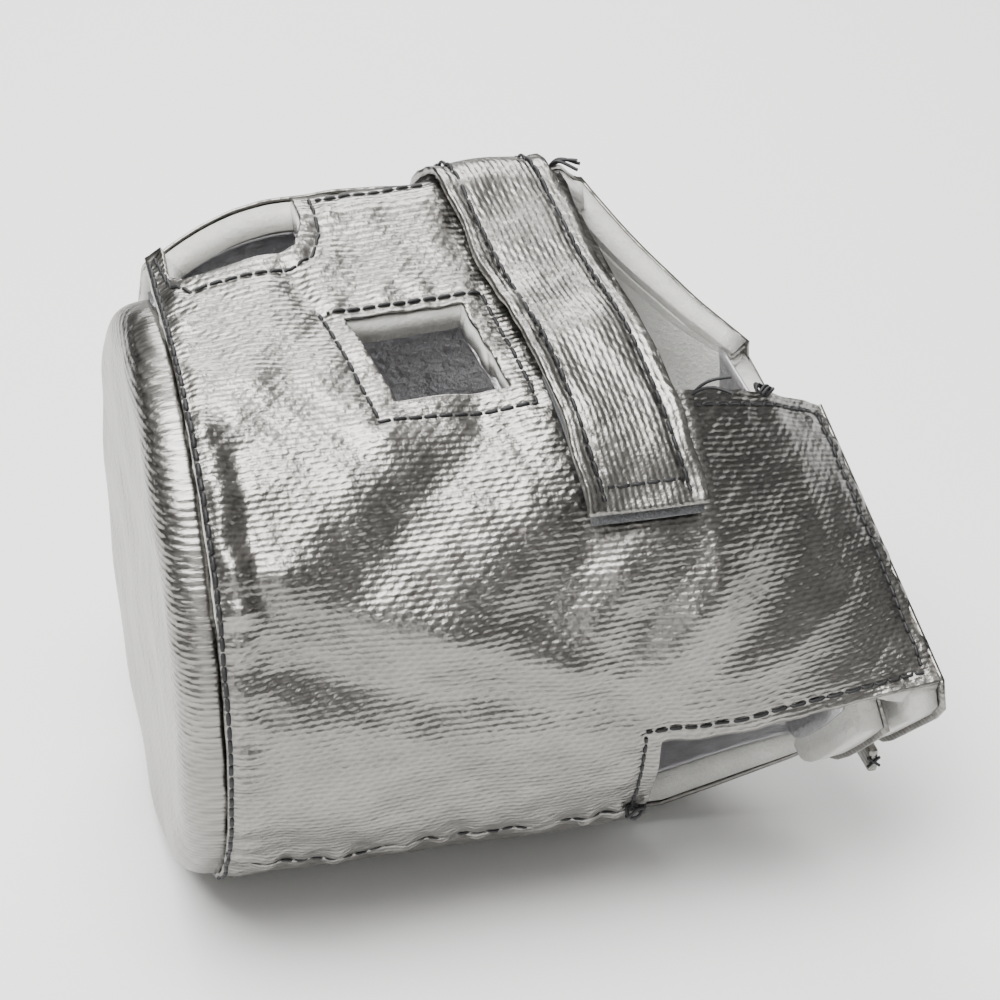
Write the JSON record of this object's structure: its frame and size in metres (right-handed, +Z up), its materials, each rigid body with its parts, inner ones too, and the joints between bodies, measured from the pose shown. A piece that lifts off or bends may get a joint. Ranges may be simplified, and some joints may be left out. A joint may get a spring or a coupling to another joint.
{
  "type": "fuel pump heat shield",
  "caption": "Slip-over round heat shield pouch of aluminised cloth and felt, with an end cap, a window, a closing strap and a lapped open end.",
  "frame": {"origin": "under the middle of the part's box, on the surface that the sleeve lies on", "axes": "+X along the sleeve from the end cap to the open end, +Z up, -Y to the side with the strap's loose end"},
  "size_m": [0.1642, 0.1286, 0.1422],
  "materials": {
    "aluminised_cloth": "woven glass cloth with a bright aluminium face",
    "felt": "white needled felt",
    "lining": "dull grey foil faced lining",
    "hook_and_loop": "grey fuzzy hook and loop tape",
    "thread": "black twisted sewing thread"
  },
  "bodies": {
    "root": {"arch_seam": "thread", "back_panel_cloth": "aluminised_cloth", "back_panel_felt": "felt", "back_panel_lining": "lining", "bottom_seam": "thread", "cap_cloth": "aluminised_cloth", "cap_felt": "felt", "cap_lining": "lining", "cap_seam": "thread", "closure_hook_patch": "hook_and_loop", "closure_loop_patch": "hook_and_loop", "closure_tab": "aluminised_cloth", "end_edge_seam": "thread", "front_hem_seam": "thread", "front_loop_patch": "hook_and_loop", "front_panel_cloth": "aluminised_cloth", "front_panel_felt": "felt", "front_panel_lining": "lining", "notch_hem_seam": "thread", "notch_side_seam": "thread", "strap": "aluminised_cloth", "strap_cross_seam": "thread", "strap_hook_tape": "hook_and_loop", "strap_left_seam": "thread", "strap_right_seam": "thread", "top_hem_seam": "thread", "tuck_flap": "lining", "window_seam": "thread"}
  },
  "joints": []
}
